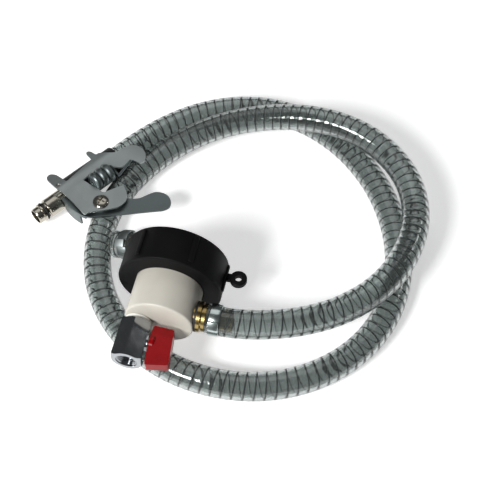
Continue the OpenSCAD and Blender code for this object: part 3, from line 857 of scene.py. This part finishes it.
class SIPHON_OT_clamp_front(bpy.types.Operator):
    """The upper stamped half of the spring clamp, with its paddle and two tabs"""
    bl_idname = "siphon.clamp_front"
    bl_label = "Clamp, upper half"

    def execute(self, context):
        thick = context.scene.siphon_sheet.thickness / MM
        z0 = (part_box("clamp_front")[1][2] / MM) - thick
        outline = [(-4, 5), (-5.1, -0.4), (-5, -8), (-4.8, -12.5), (-3, -14.9), (0.3, -15.3),
                   (3.4, -11.5), (4.4, -3.7), (4.6, 0.4),
                   (32.6, -3.6), (33.2, -11), (34.2, -12.6), (36.2, -12.6), (37.5, -10.5), (38.4, -5),
                   (41, -5), (50, 4), (58, 5.5),
                   (63, 7), (67, 12), (68, 18), (66, 24), (61, 27.5), (57.5, 26), (55.5, 18.8),
                   (44, 18.8), (36, 7.6), (15, 7.6),
                   (19, 28.4), (35, 33.2), (32, 41), (27.5, 46.5), (19.5, 47.5), (9.5, 42), (0, 35.5),
                   (-4.5, 34.5), (-3.5, 19)]
        radius = [3, 3, 4, 3, 3, 3, 4, 3, 1.5, 1.5, 1, 1.5, 1.5, 1.5, 1, 2, 3, 3, 3, 5, 5, 5, 4, 3, 2, 2,
                  3, 2, 2, 2, 3, 4, 4, 4, 3, 2, 5]

        def height(u, v):
            paddle = max(0.0, u - 48) / 20
            return 2.2 * paddle ** 2 - 0.11 * max(0.0, -v) + 0.05 * max(0.0, 3 - abs(v - 2))

        bm = bmesh.new()
        sheet_plate(bm, rounded(outline, radius), z0, thick, clamp_space(), 2.0, height)
        upper = make_piece("clamp_upper", bm, "manifold", FINISH["zinc"], ["clamp_front"],
                           bevel=0.22)
        bm = bmesh.new()
        lathe(bm, [(0, z0 - 3), (1.9, z0 - 3), (1.9, z0 + 5), (0, z0 + 5)],
              clamp_space() @ Matrix.Translation(Vector((-2.2, 1.2, 0)) * MM), 32)
        cut_with(upper, bm)
        return {"FINISHED"}


class SIPHON_OT_clamp_rear(bpy.types.Operator):
    """The lower stamped half of the spring clamp, which swings on the pivot"""
    bl_idname = "siphon.clamp_rear"
    bl_label = "Clamp, lower half"

    def execute(self, context):
        thick = context.scene.siphon_sheet.thickness / MM
        z0 = (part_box("clamp_rear")[1][2] / MM) - thick
        outline = [(-6.8, 8.4), (-4.6, 8.4), (-3, 14), (4, 14), (9, 24.5), (20, 30.5), (28, 38),
                   (31, 43.5), (37, 49), (44, 50.5), (50, 52), (54, 56), (56, 61.5),
                   (54, 67.5), (49.5, 71), (44, 70), (22, 54.5), (16, 50), (6, 43), (-4, 34.5), (-6.9, 24)]
        radius = [1, 1, 2, 2, 4, 4, 4, 4, 4, 4, 3, 4, 5, 5, 5, 4, 4, 4, 4, 4, 6]

        def height(u, v):
            reach = max(0.0, (u - 30) * 0.6 + (v - 44) * 0.5) / 25
            return -1.2 * reach ** 2

        bm = bmesh.new()
        sheet_plate(bm, rounded(outline, radius), z0, thick, clamp_space(), 3.0, height)
        bend = [(-5.7, 8.5), (-6.6, 12), (-7, 16), (-7, 20.5), (-6.5, 25), (-5.6, 29)]
        strip = bend + [(u + 1.4, v) for u, v in reversed(bend)]
        sheet_plate(bm, strip, 11, z0 - 10.8, clamp_space(), 60)
        tail = [(-5.7, 28.6), (-4.8, 32), (-3.8, 34.4), (-2.6, 34), (-3.5, 31.5), (-4.3, 28.6)]
        sheet_plate(bm, tail, 21.5, z0 - 21.3, clamp_space(), 60)
        # The lower half takes the darker zinc copy: painted shade, for a half that tilts away from the light.
        make_piece("clamp_lower", bm, "clamp_lever", FINISH["dull_and_shaded"],
                                  ["clamp_rear"], bevel=0.22)
        return {"FINISHED"}


class SIPHON_OT_pivot(bpy.types.Operator):
    """The domed cross-head pivot screw"""
    bl_idname = "siphon.pivot"
    bl_label = "Pivot screw"

    def execute(self, context):
        low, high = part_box("pivot_screw")
        foot = clamp_space() @ Matrix.Translation(Vector((PIVOT[0], -PIVOT[1], 0)) * MM)
        top = high[2] / MM
        bm = bmesh.new()
        dome = [(6.2 * math.cos(math.radians(a)),
                 top - 2.4 + 0.5 + 1.9 * math.sin(math.radians(a))) for a in range(0, 91, 10)]
        lathe(bm, [(0, low[2] / MM), (3, low[2] / MM), (3, top - 2.4), (6.0, top - 2.4),
                   *[(r if r > 1e-6 else 0, z) for r, z in dome]], foot, 64)
        screw = make_piece("pivot_head", bm, "manifold", FINISH["nickel"],
                           ["pivot_screw"], bevel=0.12)
        bm = bmesh.new()
        for a in (20, 110):
            block(bm, (-3.3, -0.7, top - 1.5), (3.3, 0.7, top + 2),
                  foot @ Matrix.Rotation(math.radians(a), 4, "Z"))
        cut_with(screw, bm)
        return {"FINISHED"}


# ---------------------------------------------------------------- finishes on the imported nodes

NODE_FINISH = {
    "cap_gasket": "rubber", "valve_nipple": "nickel", "valve_body": "chrome", "ball_seats": "seat",
               "valve_ball": "chrome",
    "valve_stem": "brass", "stem_packing": "seat", "gland_nut": "nickel", "knob_screw": "zinc",
               "side_washer": "rubber",
    "side_barb": "brass", "rear_washer": "rubber", "rear_elbow": "brass", "hose_sleeve": "rubber",
               "plug_body": "nickel",
    # The spring and the barrel take the darker zinc copy, whose darker tones are painted shade.
    "plug_seal": "rubber", "pivot_bush": "zinc", "pivot_nut": "zinc", "spring_barrel": "dull_and_shaded",
               "torsion_spring": "dull_and_shaded",
}


class SIPHON_OT_finish_nodes(bpy.types.Operator):
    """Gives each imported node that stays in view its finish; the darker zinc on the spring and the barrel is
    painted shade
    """
    bl_idname = "siphon.finish_nodes"
    bl_label = "Finishes"

    def execute(self, context):
        for name, finish in NODE_FINISH.items():
            obj = frame["nodes"][name]
            for slot in obj.material_slots:
                slot.material = FINISH[finish]
        return {"FINISHED"}


# ---------------------------------------------------------------- panel and main

OPERATORS = (SIPHON_OT_stage, SIPHON_OT_finish_nodes, SIPHON_OT_cap, SIPHON_OT_manifold, SIPHON_OT_knob,
             SIPHON_OT_ears, SIPHON_OT_tail,
             SIPHON_OT_clamp_front, SIPHON_OT_clamp_rear, SIPHON_OT_pivot, SIPHON_OT_hose)


class SIPHON_PT_panel(bpy.types.Panel):
    """Lists the steps that build the hose set"""
    bl_idname = "SIPHON_PT_panel"
    bl_label = "Siphon hose set"
    bl_space_type = "VIEW_3D"
    bl_region_type = "UI"
    bl_category = "Siphon hose"

    def draw(self, context):
        scene = context.scene
        for group in (scene.siphon_stage, scene.siphon_cap, scene.siphon_hose, scene.siphon_sheet):
            box = self.layout.box()
            for key in group.__annotations__:
                box.prop(group, key)
        for operator in OPERATORS:
            self.layout.operator(operator.bl_idname)


GROUPS = {"siphon_stage": StageSettings, "siphon_cap": CapSettings, "siphon_hose": HoseSettings,
          "siphon_sheet": SheetSettings}


def register():
    for item in (*GROUPS.values(), *OPERATORS, SIPHON_PT_panel):
        bpy.utils.register_class(item)
    for key, group in GROUPS.items():
        setattr(bpy.types.Scene, key, bpy.props.PointerProperty(type=group))


def unregister():
    for key in GROUPS:
        delattr(bpy.types.Scene, key)
    for item in reversed((*GROUPS.values(), *OPERATORS, SIPHON_PT_panel)):
        bpy.utils.unregister_class(item)


def main():
    register()
    make_finishes()
    for operator in OPERATORS:
        group, name = operator.bl_idname.split(".")
        getattr(getattr(bpy.ops, group), name)()


if __name__ == "__main__":
    main()
